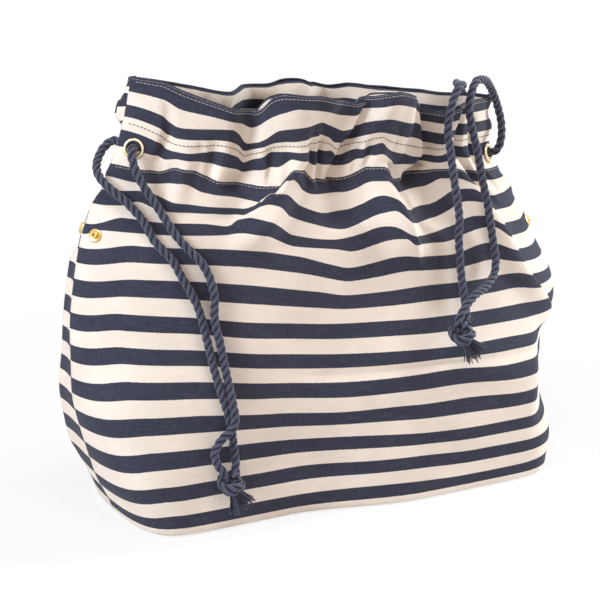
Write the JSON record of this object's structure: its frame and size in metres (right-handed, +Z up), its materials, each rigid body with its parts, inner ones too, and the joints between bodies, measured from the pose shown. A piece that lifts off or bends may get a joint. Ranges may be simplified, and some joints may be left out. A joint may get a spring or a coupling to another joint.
{
  "type": "laundry bag",
  "caption": "Soft drawstring laundry bag of striped canvas with a boxed bottom, a gathered mouth, brass eyelets, side snaps and knotted rope drawcords.",
  "frame": {"origin": "on the floor under the middle of the base", "axes": "+Z up, front towards -Y, +X along the bag's width to the viewer's right"},
  "size_m": [0.4312, 0.2038, 0.348],
  "materials": {
    "striped_canvas": "heavy woven cotton in navy and cream stripes",
    "facing_canvas": "heavy woven cotton, inside face",
    "eyelet_brass": "pale polished brass",
    "snap_brass": "polished brass",
    "navy_rope": "three-strand twisted cotton rope"
  },
  "bodies": {
    "bag": {"front_panel": "striped_canvas", "back_panel": "striped_canvas", "front_facing": "facing_canvas", "back_facing": "facing_canvas", "front_left_eyelet": "eyelet_brass", "front_right_eyelet": "eyelet_brass", "back_left_eyelet": "eyelet_brass", "back_right_eyelet": "eyelet_brass", "front_left_washer": "eyelet_brass", "front_right_washer": "eyelet_brass", "back_left_washer": "eyelet_brass", "back_right_washer": "eyelet_brass", "left_snap_stud": "snap_brass", "right_snap_stud": "snap_brass", "left_snap_socket": "snap_brass", "right_snap_socket": "snap_brass", "left_stud_cap": "snap_brass", "right_stud_cap": "snap_brass", "left_socket_cap": "snap_brass", "right_socket_cap": "snap_brass", "left_cord_bend": "navy_rope", "right_cord_bend": "navy_rope"},
    "front_lip": {"left_cord_front_run": "navy_rope", "right_cord_front_run": "navy_rope"},
    "back_lip": {"left_cord_back_run": "navy_rope", "right_cord_back_run": "navy_rope"},
    "left_pull": {"left_cord_front_strand": "navy_rope", "left_cord_back_strand": "navy_rope", "left_knot": "navy_rope", "left_tassel": "navy_rope"},
    "right_pull": {"right_cord_front_strand": "navy_rope", "right_cord_back_strand": "navy_rope", "right_knot": "navy_rope", "right_tassel": "navy_rope"}
  },
  "joints": [
    {"name": "left_cord_pull", "type": "slide", "parent": "bag", "child": "left_pull", "axis": [0, 0, -1], "range_m": [-0.015, 0.012], "deforming": ["left_cord_front_strand", "left_cord_back_strand"]},
    {"name": "right_cord_pull", "type": "slide", "parent": "bag", "child": "right_pull", "axis": [0, 0, -1], "range_m": [-0.015, 0.012], "deforming": ["right_cord_front_strand", "right_cord_back_strand"]},
    {"name": "front_lip_draw", "type": "slide", "parent": "bag", "child": "front_lip", "axis": [0, 1, 0], "range_m": [-0.03, 0.024], "deforming": ["left_cord_front_run", "right_cord_front_run"]},
    {"name": "back_lip_draw", "type": "slide", "parent": "bag", "child": "back_lip", "axis": [0, -1, 0], "range_m": [-0.03, 0.024], "deforming": ["left_cord_back_run", "right_cord_back_run"]}
  ],
  "couplings": [
    {"joint": "right_cord_pull", "follows": "left_cord_pull", "ratio": 1},
    {"joint": "front_lip_draw", "follows": "left_cord_pull", "ratio": 2},
    {"joint": "back_lip_draw", "follows": "left_cord_pull", "ratio": 2}
  ]
}
